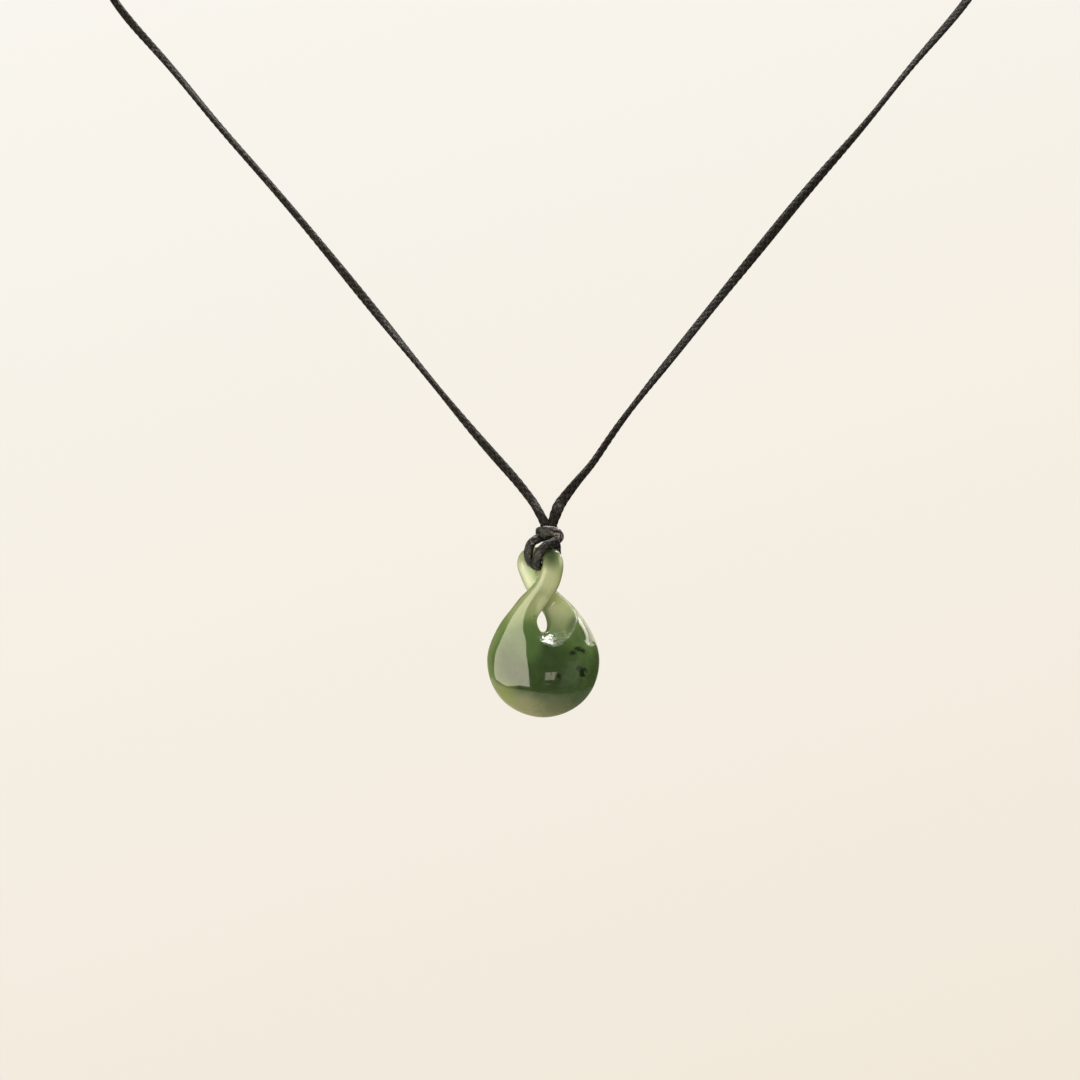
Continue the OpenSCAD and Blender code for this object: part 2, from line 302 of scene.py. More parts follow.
rightLeg = np.array([
    [1.6, 0.5, 29.7, 180, 1.45, 0.95],
    [1.5, 0.1, 30.5, 180, 1.5, 0.95],
    [1.5, 0.0, 31.2, 180, 1.6, 0.95],
    [2.2, 1.0, 33.2, 180, 1.85, 0.95],
    [3.1, 2.5, 34.8, 170, 1.75, 0.9],
    [5.6, 4.5, 38.0, 150, 1.45, 0.85],
    [8.3, 7.5, 41.3, 134, 1.42, 0.82],
    [12.8, 12.0, 47.8, 112, 1.45, 0.95],
    [20.5, 19.0, 57.6, 55, 1.4, 0.85],
    [28.5, 26.5, 67.6, 42, 1.4, 0.85],
    [36.7, 33.5, 77.7, 10, 1.6, 1.15],
    [45.1, 40.5, 87.9, -8, 1.6, 1.2],
    [54.0, 47.5, 98.2, -34, 1.5, 1.0],
    [62.4, 55.0, 108.6, -62, 1.4, 0.85],
    [71.2, 62.0, 119.1, -100, 1.4, 0.82],
])
# Half of the stretch behind the neck, from the nape. Columns: x, y, z, turn, width, thickness
napeHalf = np.array([
    [0.0, 0.0, 0.0, -38, 1.4, 0.82],
    [6.0, 0.0, 0.0, -40, 1.4, 0.82],
    [15.0, -0.5, 0.0, -42, 1.4, 0.82],
    [30.0, -2.5, -1.0, -48, 1.4, 0.82],
    [46.0, -6.5, -3.0, -54, 1.4, 0.82],
    [59.0, -12.5, -5.5, -62, 1.4, 0.82],
    [68.5, -20.0, -8.5, -70, 1.4, 0.82],
    [74.5, -29.0, -12.0, -78, 1.4, 0.82],
    [77.0, -38.5, -16.0, -86, 1.4, 0.82],
    [76.5, -48.0, -21.5, -94, 1.4, 0.82],
])


def cordRoute():
    legShift = np.append(foot, [0, 0, 0])
    farHalf = napeHalf[:0:-1] * [-1, 1, 1, -1, 1, 1] + [0, 0, 0, cordSet["napeTwist"], 0, 0]
    return np.vstack([leftLeg + legShift, farHalf, napeHalf, (rightLeg + legShift)[::-1]])


overlap = 0.5  # how much higher a thread lies where it crosses over another


# Height of a plait's surface, from 0 to 1. Two sets of threads wind opposite ways, each a row of half-round
# ridges, and the product of their sines says which of the two lies on top.
def plaitHeight(run, share, settings):
    first = np.sin(math.pi * settings["strands"] * (share + run / settings["lay"]))
    second = np.sin(math.pi * settings["strands"] * (share - run / settings["lay"]))
    over = overlap * first * second
    return np.maximum(np.abs(first) + over, np.abs(second) - over) / (1 + overlap)


# Cosine and sine of the angle q, each to a power with its sign kept: (sign cos |cos|^p, sign sin |sin|^p)
def squareRound(q, power):
    return [np.sign(wave) * np.abs(wave) ** power for wave in (np.cos(q), np.sin(q))]


# A plaited cord along a path. Each ring is the curve (width/2 cos^p q, thickness/2 sin^p q), with its points
# at even steps round it. Half of the plait's relief pushes a point out of the ring, and half draws it in.
def plaitedTube(path, facing, width, thickness, run, settings, fineSteps=720):
    along = unitRows(np.gradient(path, axis=0))
    across = unitRows(np.cross(along, facing))
    out = np.cross(across, along)
    fine = np.linspace(0, 2 * math.pi, fineSteps + 1)
    cosine, sine = squareRound(fine, settings["square"])
    steps = np.hypot(np.diff(cosine * width.mean() / 2), np.diff(sine * thickness.mean() / 2))
    lengths = np.concatenate([[0], np.cumsum(steps)])
    share = np.arange(settings["sides"]) / settings["sides"]
    angle = np.interp(share * lengths[-1], lengths, fine)
    cosine, sine = squareRound(angle, settings["square"])
    lift = settings["relief"] * (plaitHeight(run[:, None], share[None], settings) - 0.5)
    flat = width[:, None] / 2 * cosine + lift * np.cos(angle)
    high = thickness[:, None] / 2 * sine + lift * np.sin(angle)
    return path[:, None] + flat[..., None] * across[:, None] + high[..., None] * out[:, None]


# The flat of the cord faces away from the middle of the neck, turned about the cord's own line
def facingOut(path, turn, middle):
    along = unitRows(np.gradient(path, axis=0))
    away = np.column_stack([path[:, :2] - middle, np.zeros(len(path))])
    across = unitRows(np.cross(along, away))
    out = np.cross(across, along)
    angle = np.radians(turn)[:, None]
    return np.cos(angle) * out + np.sin(angle) * across


# The same height as a node group, and the gaps between the threads, where the cord paints shade. Its map's
# first number counts turns of a thread along the cord, and its second the share of the way round.
def makePlaitGroup(gapFrom, gapTo):
    group, given, result = newGroup(
        "plaitRelief",
        [("Plait", "Vector"), ("Strands", "Float")],
        [("Height", "Float"), ("GapShade", "Float")])
    turns, share = put(group, "SeparateXYZ", {0: given.outputs["Plait"]}).outputs[:2]
    sines = []
    for operation in ("ADD", "SUBTRACT"):
        thread = maths(group, "MULTIPLY", maths(group, operation, share, turns), given.outputs["Strands"])
        sines.append(maths(group, "SINE", maths(group, "MULTIPLY", thread, math.pi)))
    over = maths(group, "MULTIPLY", maths(group, "MULTIPLY", *sines), overlap)
    first = maths(group, "ADD", maths(group, "ABSOLUTE", sines[0]), over)
    second = maths(group, "SUBTRACT", maths(group, "ABSOLUTE", sines[1]), over)
    height = maths(group, "DIVIDE", maths(group, "MAXIMUM", first, second), 1 + overlap)
    group.links.new(height, result.inputs["Height"])
    gapShade = spread(group, height, gapFrom, gapTo, 1.0, 0.0, True)
    group.links.new(gapShade, result.inputs["GapShade"])
    return group


plaitGroup = makePlaitGroup(0.25, 0.6)


# Waxed thread: near-black dye, grey wax on the crests of fine crinkles that run along the cord, which also
# stands in for painted glints there, painted shade in the gaps between the threads, the left side painted
# lighter as the lit side, and brown where it is rubbed, partly wear and partly painted glints
def cordMaterial(name, settings, rubbedGlints=(), ragged=0.8):
    material, tree, surface = newMaterial(name)
    plait = put(tree, "UVMap", uv_map="plait").outputs["UV"]
    relief = put(tree, "Group", node_tree=plaitGroup)
    tree.links.new(plait, relief.inputs["Plait"])
    relief.inputs["Strands"].default_value = settings["strands"]
    height, gapShade = relief.outputs["Height"], relief.outputs["GapShade"]
    place = put(tree, "TexCoord").outputs["Object"]
    stretched = put(tree, "Mapping", {"Vector": plait, "Scale": settings["crinkleScale"]}).outputs[0]
    patches = grain(tree, place, settings["patches"])
    crinkles = grain(tree, stretched, settings["crinkles"])
    flecks = grain(tree, place, settings["flecks"])
    across = put(tree, "SeparateXYZ", {0: place}).outputs[0]
    # Painted light: the wax shows more on the left, where the cord is lit
    waxed = spread(tree, across, *settings["waxedAcross"], *settings["waxed"])
    for value, key in (
            (crinkles, "waxGlintCrests"), (patches, "waxPatches"), (height, "waxGlintHeights"), (flecks, "waxFlecks")):
        waxed = maths(tree, "MULTIPLY", waxed, spread(tree, value, *settings[key]))
    # Grey wax on the crinkles' crests and on the raised threads, partly painted glints there
    colour = blend(tree, waxed, settings["dye"], settings["wax"])
    # Painted shade in the gaps between the threads
    colour = blend(tree, maths(tree, "MULTIPLY", gapShade, settings["gapShadeShare"]), colour, settings["gapShade"])
    # Brown where rubbed, on the crinkles' crests: partly wear and partly painted glints
    if rubbedGlints:
        wornAndGlint = 0.0
        for row in rubbedGlints:
            wornAndGlint = maths(tree, "MAXIMUM", wornAndGlint, spot(tree, place, patches, row, ragged))
        wornAndGlint = maths(tree, "MULTIPLY", wornAndGlint, spread(tree, crinkles, *settings["wornGlintCrests"]))
        wornAndGlint = maths(tree, "MULTIPLY", wornAndGlint, spread(tree, flecks, *settings["wornGlintFlecks"]))
        colour = blend(tree, wornAndGlint, colour, settings["wornAndGlint"])
    uneven = maths(tree, "ADD", patches, maths(tree, "MULTIPLY", flecks, settings["dullFlecks"]))
    normal = bumped(tree, height, settings["plaitBump"])
    normal = bumped(tree, crinkles, settings["crinkleBump"], normal)
    tree.links.new(colour, surface.inputs["Base Color"])
    tree.links.new(spread(tree, uneven, *settings["dullness"]), surface.inputs["Roughness"])
    tree.links.new(normal, surface.inputs["Normal"])
    surface.inputs["Specular IOR Level"].default_value = settings["gloss"]
    return material


def makeCord():
    rows, run = evenly(cordRoute(), cordSet["step"])
    path, turn, width, thickness = rows[:, :3], rows[:, 3], rows[:, 4], rows[:, 5]
    rings = plaitedTube(path, facingOut(path, turn, cordSet["neck"]), width, thickness, run, cordSet)
    mesh = gridMesh("neckCord", rings, (run, cordSet["lay"]))
    return makePiece("neckCord", mesh, cordMaterial("waxedCord", cordSet), "waxed_cord", "neck_cord"), path


neckCord, cordPath = makeCord()


# Hitch: the same cord, down behind the eye's bar, through the eye, and round both legs
hitchSet = dict(
    cordSet, step=0.1, waxed=(1.0, 1.0), gloss=0.4, dye=(0.0055, 0.0048, 0.0042), wax=(0.23, 0.2, 0.18),
    # rubbed spots at the hitch's ends, partly wear and partly painted glints
    rubbedGlints=[
        ((2.6, -1.4, 29.4), (1.6, 1.6, 1.6), 1.0),
        ((-1.9, -1.5, 28.2), (1.2, 1.2, 1.2), 1.0),
    ])

# From the left leg's end to the right leg's, measured from the foot. The flat always faces what the cord
# bends round.
# Columns: x, y, z, then the three of the way that the flat faces, width, thickness
hitchRows = np.array([
    [0.4, 0.6, 29.7, 0, -1, 0, 1.4, 0.95],
    [0.7, 1.6, 28.4, 0, -1, 0, 1.4, 0.95],
    [0.8, 2.5, 27.2, 0, -1, 0, 1.4, 0.95],
    [0.7, 2.65, 26.0, 0, -1, 0.1, 1.4, 0.95],
    [0.4, 2.05, 24.9, 0, -0.6, 0.6, 1.4, 0.95],
    [-0.2, 1.1, 24.2, 0, -0.2, 1, 1.4, 0.95],
    [-0.9, 0.4, 23.95, 0.3, 0, 1, 1.4, 0.95],
    [-1.6, -0.3, 24.3, 0.5, 0.2, 1, 1.4, 0.95],
    [-2.15, -1.1, 24.9, 0.6, 0.6, 0.7, 1.42, 1.0],
    [-2.4, -1.6, 25.9, 0.5, 1, 0.2, 1.45, 1.0],
    [-2.3, -1.8, 27.0, 0.4, 1, 0, 1.45, 1.0],
    [-1.8, -1.6, 28.0, 0.2, 1, 0, 1.45, 1.0],
    [-0.9, -1.2, 28.6, 0, 1, 0, 1.45, 0.95],
    [0.1, -0.7, 28.9, 0, 1, 0.1, 1.4, 0.9],
    [1.2, -0.4, 29.1, -0.2, 1, 0.1, 1.4, 0.9],
    [2.2, 0.2, 29.3, -0.9, 0.5, 0, 1.4, 0.9],
    [2.4, 1.2, 29.5, -0.9, -0.5, 0, 1.4, 0.9],
    [1.5, 1.95, 29.6, 0, -1, 0, 1.4, 0.9],
    [0.3, 1.9, 29.6, 0.2, -1, 0, 1.4, 0.9],
    [-0.6, 1.1, 29.6, 0.9, -0.5, 0, 1.5, 0.95],
    [-0.75, 0.1, 29.6, 1, 0, 0, 1.7, 1.0],
    [-0.45, -0.8, 29.6, 0.8, 0.6, 0, 1.85, 1.05],
    [0.3, -1.3, 29.7, 0.2, 1, 0, 1.9, 1.1],
    [1.3, -1.45, 29.7, 0, 1, 0, 1.8, 1.1],
    [2.1, -1.4, 29.5, -0.3, 1, 0, 1.6, 1.1],
    [2.55, -1.45, 29.0, -0.5, 1, 0, 1.45, 1.1],
    [2.2, -1.75, 28.4, -0.1, 1, 0.1, 1.45, 1.1],
    [1.2, -2.35, 27.85, 0, 1, 0.3, 1.5, 1.05],
    [0.2, -2.75, 27.3, 0, 1, 0.1, 1.5, 1.0],
    [-0.6, -2.8, 26.4, 0.2, 1, 0, 1.5, 1.0],
    [-1.05, -2.4, 25.4, 0.3, 1, 0.4, 1.45, 1.0],
    [-0.95, -1.6, 24.4, 0.2, 0.6, 0.8, 1.4, 0.95],
    [-0.2, -0.5, 23.95, 0, 0.1, 1, 1.4, 0.95],
    [0.8, 0.5, 24.2, 0, -0.2, 1, 1.4, 0.95],
    [1.7, 1.4, 24.9, 0, -0.6, 0.6, 1.4, 0.95],
    [2.1, 1.95, 25.9, 0, -1, 0.1, 1.4, 0.95],
    [2.1, 1.95, 27.1, 0, -1, 0, 1.4, 0.95],
    [1.9, 1.4, 28.3, 0, -1, 0, 1.4, 0.95],
    [1.6, 0.5, 29.7, 0, -1, 0, 1.45, 0.95],
])


def makeHitch():
    rows, run = evenly(hitchRows + np.append(foot, np.zeros(5)), hitchSet["step"])
    rings = plaitedTube(rows[:, :3], rows[:, 3:6], rows[:, 6], rows[:, 7], run, hitchSet)
    mesh = gridMesh("hitchKnot", rings, (run, hitchSet["lay"]))
    material = cordMaterial("rubbedGlintCord", hitchSet, hitchSet["rubbedGlints"])
    return makePiece("hitchKnot", mesh, material, "worn_cord", "hitch_knot")


hitchKnot = makeHitch()


# Closing knot at the nape: both ends of the cord whipped together
closingSet = dict(
    cordSet, step=0.14, turns=5.5, radius=1.22, pitch=1.22, thread=(1.25, 0.9),
    tuckTurns=0.35,  # of each end, in which it is tucked in
    tuckIn=0.28,     # share that the radius shrinks by there
    tuckThin=0.25)   # and the thread


# A coil about the cord's line: (pitch t, radius cos, radius sin) of the angle, drawn in at both ends
def makeClosing():
    count = int(closingSet["turns"] * 2 * math.pi * closingSet["radius"] / closingSet["step"])
    turn = np.linspace(-closingSet["turns"] / 2, closingSet["turns"] / 2, count)
    angle = 2 * math.pi * turn
    tuck = 1 - ease(closingSet["turns"] / 2 - np.abs(turn), 0, closingSet["tuckTurns"])
    radius = closingSet["radius"] * (1 - closingSet["tuckIn"] * tuck)
    path = np.stack([closingSet["pitch"] * turn, radius * np.cos(angle), radius * np.sin(angle)], 1)
    facing = np.stack([np.zeros(count), np.cos(angle), np.sin(angle)], 1)
    run = np.concatenate([[0], np.cumsum(np.linalg.norm(np.diff(path, axis=0), axis=1))])
    width, thickness = np.outer(closingSet["thread"], 1 - closingSet["tuckThin"] * tuck)
    rings = plaitedTube(path, facing, width, thickness, run, closingSet)
    mesh = gridMesh("closingKnot", rings, (run, closingSet["lay"]))
    material = cordMaterial("whippedCord", closingSet)
    return makePiece("closingKnot", mesh, material, "waxed_cord", "closing_knot")


closingKnot = makeClosing()


# Stone: one ring that crosses itself
stoneSet = {
    "sections": 900,
    "lines": 44,          # across each face
    "lean": 0.5,          # mm that the eye stands off the drop's middle line
    "firstLean": 0.54,    # share of the lean that is taken over the drop
    "rimFoot": 13.5,      # heights at which the two edges start to lean, and the rise that they take
    "outlineFoot": 17.5,
    "footRise": 2.5,
    "eyeFrom": 21.0,      # heights between which the rest of the lean is taken
    "eyeTo": 25.0,
    "polishReach": 26.0,  # sections that the polish reaches over
    "polishFrom": 0.22,   # share of the way in from an edge at which it is full
    "scoopPolish": 0.15,  # how much of it the scooped face gets
    "scoopRows": (2, 4),  # rows at the foot and at the eye over which the polish passes to the scoop's
    "uprightFrom": 4,     # rows between which the sections turn upright
    "uprightTo": 8,
    "floorPower": 5.0,    # how square the scoop's floor is at the rim
    "wallPower": 1.2,     # how hollow its wall is
    "wallHollow": 1.6,    # what is added to that power where the floor takes the whole section
    "flankPower": 0.62,   # how full the ground flank is, under 1 for a full one
    "floorShare": 0.25,   # shares of the lines that lie on the floor, the wall and the flank
    "wallShare": 0.17,
    "flankShare": 0.25,
    "scoopBulk": 0.35,    # share of the scoop's depth that its colour takes for missing stone
    "creaseBand": 0.03,   # share of the way over which the dull of the scoop fades past its crease
    "creaseDull": 0.3,    # how dull the crease is, as the depth in mm of a scoop that is as dull
}

# Half of the ring, from the top of the eye down the front strand to the foot of the drop. The rim edge runs
# round the small hole and over the eye, and the outline edge round the drop and inside the eye.
# Columns: rim x, rim y, rim z, outline x, outline y, outline z
edgeRows = np.array([
    [0.0, 0.0, 27.3, 0.0, 0.0, 24.9],
    [2.1, -1.3, 27.1, 0.5, -0.75, 24.95],
    [3.35, -2.1, 26.0, 0.6, -1.6, 24.75],
    [3.7, -2.35, 24.3, 0.25, -2.2, 24.1],
    [3.2, -2.25, 22.2, -0.2, -2.3, 23.15],
    [2.2, -2.1, 20.0, -0.85, -2.05, 22.0],
    [0.8, -1.9, 18.15, -2.1, -1.85, 20.55],
    [0.05, -1.7, 17.1, -4.0, -1.65, 18.75],
    [-0.45, -1.45, 16.3, -5.85, -1.35, 16.55],
    [-0.72, -1.1, 15.4, -7.2, -0.9, 14.6],
    [-0.66, -0.7, 14.6, -8.55, -0.5, 11.7],
    [-0.5, -0.4, 14.1, -9.0, -0.2, 8.6],
    [-0.34, -0.2, 13.85, -8.0, 0.0, 4.8],
    [-0.2, 0.0, 13.75, -5.0, 0.0, 1.5],
    [0.0, 0.0, 13.7, 0.0, 0.0, 0.0],
])
# The front face over each section, then the back face. Places are shares of the way from rim to outline.
# Columns: height, place of the height, shoulder power, end of scoop floor, crease, floor height, scoop depth,
# ridge of the flank, flank depth
frontRows = np.array([
    [1.5, 0.50, 2.8, 0.30, 0.60, 1.4, 0.0, 0.92, 0.0],
    [1.5, 0.52, 2.9, 0.30, 0.60, 1.4, 0.0, 0.92, 0.0],
    [1.5, 0.54, 3.2, 0.30, 0.60, 1.4, 0.0, 0.92, 0.0],
    [1.5, 0.56, 3.6, 0.30, 0.60, 1.4, 0.0, 0.92, 0.0],
    [1.5, 0.56, 3.8, 0.30, 0.60, 1.4, 0.0, 0.92, 0.0],
    [1.52, 0.54, 3.8, 0.30, 0.60, 1.4, 0.0, 0.92, 0.0],
    [1.6, 0.49, 3.5, 0.25, 0.50, 1.5, 0.0, 0.92, 0.0],
    [1.78, 0.41, 3.3, 0.20, 0.40, 1.6, 0.0, 0.92, 0.0],
    [2.12, 0.34, 3.1, 0.16, 0.30, 1.7, 0.0, 0.92, 0.0],
    [2.57, 0.295, 2.9, 0.12, 0.20, 1.8, 0.0, 0.92, 0.0],
    [3.04, 0.28, 2.75, 0.08, 0.13, 1.9, 0.0, 0.92, 0.0],
    [3.45, 0.285, 2.6, 0.05, 0.09, 2.0, 0.0, 0.92, 0.0],
    [3.77, 0.295, 2.5, 0.03, 0.085, 2.1, 0.3, 0.92, 0.0],
    [3.95, 0.30, 2.4, 0.03, 0.10, 2.1, 0.8, 0.92, 0.0],
    [4.0, 0.30, 2.4, 0.03, 0.12, 2.1, 1.0, 0.92, 0.0],
])
backRows = np.array([
    [1.5, 0.50, 2.8, 0.30, 0.60, 1.4, 0.0, 0.92, 0.0],
    [1.5, 0.50, 2.8, 0.35, 0.65, 1.4, 0.0, 0.92, 0.0],
    [1.5, 0.50, 2.8, 0.40, 0.70, 1.4, 0.0, 0.92, 0.0],
    [1.5, 0.50, 2.8, 0.45, 0.76, 1.4, 0.0, 0.93, 0.0],
    [1.5, 0.50, 2.8, 0.50, 0.82, 1.4, 0.0, 0.94, 0.0],
    [1.5, 0.50, 2.8, 0.55, 0.90, 1.45, 0.0, 0.96, 0.0],
    [1.55, 0.50, 3.0, 0.60, 0.95, 1.5, 0.5, 0.98, 0.0],
    [1.75, 0.50, 3.6, 0.62, 0.96, 1.58, 1.0, 0.98, 0.0],
    [2.4, 0.50, 4.5, 0.55, 0.90, 1.64, 1.0, 0.92, 1.0],
    [3.1, 0.50, 5.5, 0.40, 0.70, 1.7, 1.0, 0.76, 1.0],
    [3.65, 0.45, 4.5, 0.22, 0.47, 1.75, 1.0, 0.73, 1.0],
    [3.95, 0.40, 3.0, 0.12, 0.34, 1.85, 1.0, 0.88, 0.4],
    [4.05, 0.35, 2.5, 0.06, 0.25, 2.0, 1.0, 0.92, 0.0],
    [4.0, 0.32, 2.4, 0.04, 0.17, 2.1, 1.0, 0.92, 0.0],
    [4.0, 0.30, 2.4, 0.03, 0.12, 2.1, 1.0, 0.92, 0.0],
])


# A full dome over the section. The share u of the way is bent to w = u^k, so that the height's place falls on
# w = 1/2, and the dome is height (1 - |2w - 1|^power)^(1/2).
def domeHeight(u, row):
    height, place, power = row[:, 0:1], row[:, 1:2], row[:, 2:3]
    w = np.clip(u, 0, 1) ** (math.log(0.5) / np.log(place))
    return height * np.sqrt(np.clip(1 - np.abs(2 * w - 1) ** power, 0, 1))


# The face with its scoop: a floor rounding off to the rim, a hollow wall up to the crease, then the dome.
# Past the ridge the flank falls off to the outline, as a power of what is left of the way.
def faceHeight(u, row):
    floorEnd, crease, floor, depth, ridge, flankDepth = (row[:, k:k + 1] for k in range(3, 9))
    depth, flankDepth = np.clip(depth, 0, 1), np.clip(flankDepth, 0, 1)
    full, brow, shoulder = domeHeight(u, row), domeHeight(crease, row), domeHeight(ridge, row)
    low = floor * np.sqrt(np.clip(1 - (1 - np.clip(u / floorEnd, 0, 1)) ** stoneSet["floorPower"], 0, 1))
    hollow = stoneSet["wallPower"] + stoneSet["wallHollow"] * floorEnd
    climb = np.clip((u - floorEnd) / (crease - floorEnd), 0, 1) ** hollow
    scoop = np.where(u < floorEnd, low, np.where(u < crease, floor + (brow - floor) * climb, full))
    fall = shoulder * np.clip((1 - u) / (1 - ridge), 0, 1) ** stoneSet["flankPower"]
    flank = np.where(u < ridge, full, fall)
    cut = full + depth * (np.minimum(full, scoop) - full)
    return cut + flankDepth * (np.minimum(full, flank) - full)


# Shares at which a face has its lines: close beside both edges, and one each on the floor's end, the crease
# and the ridge
def lineShares(row):
    floorEnd, crease, ridge = row[:, 3:4], row[:, 4:5], row[:, 7:8]
    count = stoneSet["lines"]
    onFloor, onWall, onFlank = (int(count * stoneSet[k]) for k in ("floorShare", "wallShare", "flankShare"))
    onDome = count - onFloor - onWall - onFlank
    first = 1 - np.cos(np.linspace(0, math.pi / 2, onFloor, endpoint=False))
    second = np.linspace(0, 1, onWall, endpoint=False)
    third = np.linspace(0, 1, onDome, endpoint=False)
    fourth = np.sin(np.linspace(0, math.pi / 2, onFlank + 1))
    return np.hstack([floorEnd * first, floorEnd + (crease - floorEnd) * second,
                      crease + (ridge - crease) * third, ridge + (1 - ridge) * fourth])


# The eye's lean in two steps, the first over the drop's shoulders and the second beside the eye
def leaned(points, start):
    first = stoneSet["firstLean"] * ease(points[:, 2], start, start + stoneSet["footRise"])
    second = (1 - stoneSet["firstLean"]) * ease(points[:, 2], stoneSet["eyeFrom"], stoneSet["eyeTo"])
    return points - np.outer(stoneSet["lean"] * (first + second), [1, 0, 0])


# Each line round the ring evened out along itself, except beside the rim and the outline: its waves are
# damped by exp(-2 (pi reach frequency)^2), which is a blur of that reach in sections. The scooped face, whose
# rows are those past the foot, is evened out far less.
def polished(points, u, rows):
    wave = np.fft.rfftfreq(len(points))[:, None, None]
    damping = np.exp(-2 * (math.pi * stoneSet["polishReach"] * wave) ** 2)
    soft = np.fft.irfft(np.fft.rfft(points, axis=0) * damping, len(points), axis=0)
    spans = len(edgeRows) - 1
    footRows, eyeRows = stoneSet["scoopRows"]
    scooped = ease(rows, spans, spans + footRows) * ease(2 * spans - rows, 0, eyeRows)
    smooth = 1 - (1 - stoneSet["scoopPolish"]) * scooped
    weight = ease(u, 0, stoneSet["polishFrom"]) * ease(1 - u, 0, stoneSet["polishFrom"]) * smooth[:, None]
    return points + weight[..., None] * (soft - points)


# Ring points are rim + (outline - rim) u, off the chord by the face's height along the section's normal. The
# other half of the ring is the listed half turned half round about the upright axis, its faces changed over.
def stoneRings():
    spans = len(edgeRows) - 1
    halfTurn = np.array([-1, -1, 1, -1, -1, 1])
    edges = np.vstack([edgeRows, (edgeRows * halfTurn)[spans - 1:0:-1]])
    fronts = np.vstack([frontRows, backRows[spans - 1:0:-1]])
    backs = np.vstack([backRows, frontRows[spans - 1:0:-1]])
    t = np.linspace(0, 2 * spans, stoneSet["sections"], endpoint=False)
    edge, front, back = (rowAt(rows, t, True) for rows in (edges, fronts, backs))
    rim, outline = leaned(edge[:, :3], stoneSet["rimFoot"]), leaned(edge[:, 3:], stoneSet["outlineFoot"])
    middle = (rim + outline) / 2
    along = np.roll(middle, -1, 0) - np.roll(middle, 1, 0)
    along[:, 1] *= 1 - ease(np.minimum(t, 2 * spans - t), stoneSet["uprightFrom"], stoneSet["uprightTo"])
    normal = unitRows(np.cross(along, rim - outline))
    uFront, uBack = lineShares(front), lineShares(back)
    hFront, hBack = faceHeight(uFront, front), faceHeight(uBack, back)
    chord = (outline - rim)[:, None]
    faceOut = rim[:, None] + chord * uFront[..., None] + normal[:, None] * hFront[..., None]
    faceHome = rim[:, None] + chord * uBack[..., None] - normal[:, None] * hBack[..., None]
    faceOut, faceHome = polished(faceOut, uFront, t), polished(faceHome, uBack, (2 * spans - t) % (2 * spans))
    rings = np.concatenate([faceOut, faceHome[:, ::-1][:, 1:-1]], axis=1) + foot
    # Stone behind each point as if the edges were square, how rounded off the point is, and its scoop's depth
    bulk = front[:, 0:1] + back[:, 0:1]
    values = {"bulk": [], "edge": [], "scoop": []}
    for u, high, row, other in ((uFront, hFront, front, back), (uBack, hBack, back, front)):
        inScoop = np.where(u < row[:, 4:5], domeHeight(u, row) - high, 0)
        beside = np.clip(row[:, 6:7], 0, 1) * np.exp(-((u - row[:, 4:5]) / stoneSet["creaseBand"]) ** 2)
        values["bulk"].append(bulk - stoneSet["scoopBulk"] * inScoop)
        values["edge"].append((high + faceHeight(u, other)) / bulk)
        values["scoop"].append(np.maximum(inScoop, stoneSet["creaseDull"] * beside))
    return rings, {key: np.concatenate([a, b[:, ::-1][:, 1:-1]], axis=1) for key, (a, b) in values.items()}


